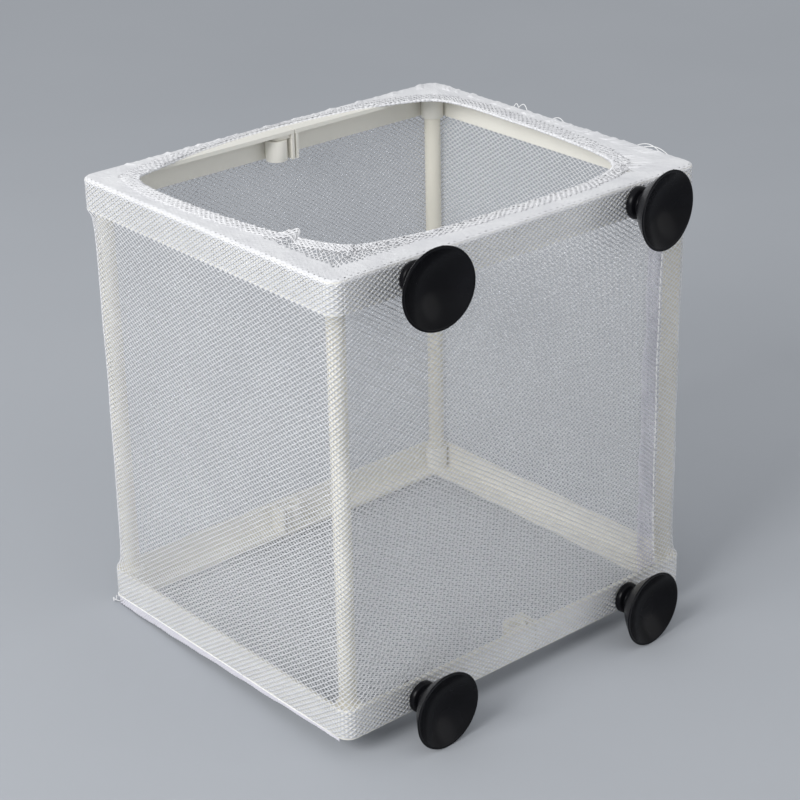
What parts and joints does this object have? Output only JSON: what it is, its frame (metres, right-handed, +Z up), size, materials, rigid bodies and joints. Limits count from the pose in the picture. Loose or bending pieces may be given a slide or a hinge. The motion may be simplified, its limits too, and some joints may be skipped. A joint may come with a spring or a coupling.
{
  "type": "fish breeding box",
  "caption": "Open-topped rectangular net cage on a plastic frame, with an elastic mouth, hung inside an aquarium by suction cups to keep fry apart.",
  "frame": {"origin": "centre of the cage's footprint on the underside of the net floor", "axes": "+Z up, +X along the suction cup face, -Y out of the suction cup face towards the glass"},
  "size_m": [0.13, 0.1207, 0.142],
  "materials": {
    "frame_plastic": "moulded ivory plastic, softly glossy",
    "post_plastic": "extruded ivory plastic rod",
    "net": "fine white knitted nylon mesh",
    "cuff_net": "the same mesh gathered in several layers",
    "seam_net": "two layers of the mesh in a seam allowance",
    "elastic": "white covered elastic cord",
    "rubber": "smooth black rubber"
  },
  "bodies": {
    "cage": {"bottom_half_frame_left": "frame_plastic", "bottom_half_frame_right": "frame_plastic", "top_half_frame_left": "frame_plastic", "top_half_frame_right": "frame_plastic", "post_front_left": "post_plastic", "post_front_right": "post_plastic", "post_rear_left": "post_plastic", "post_rear_right": "post_plastic", "net_front": "net", "net_rear": "net", "net_left": "net", "net_right": "net", "net_floor": "net", "net_cuff": "cuff_net", "hem_channel": "cuff_net", "elastic_cord": "elastic", "side_seam": "seam_net", "floor_seam": "seam_net"},
    "cup_bottom_left": {"suction_cup_bottom_left": "rubber"},
    "cup_bottom_right": {"suction_cup_bottom_right": "rubber"},
    "cup_top_left": {"suction_cup_top_left": "rubber"},
    "cup_top_right": {"suction_cup_top_right": "rubber"}
  },
  "joints": [
    {"name": "pull_bottom_left", "type": "slide", "parent": "cage", "child": "cup_bottom_left", "axis": [0, -1, 0], "range_m": [0, 0.015]},
    {"name": "pull_bottom_right", "type": "slide", "parent": "cage", "child": "cup_bottom_right", "axis": [0, -1, 0], "range_m": [0, 0.015]},
    {"name": "pull_top_left", "type": "slide", "parent": "cage", "child": "cup_top_left", "axis": [0, -1, 0], "range_m": [0, 0.015]},
    {"name": "pull_top_right", "type": "slide", "parent": "cage", "child": "cup_top_right", "axis": [0, -1, 0], "range_m": [0, 0.015]}
  ]
}
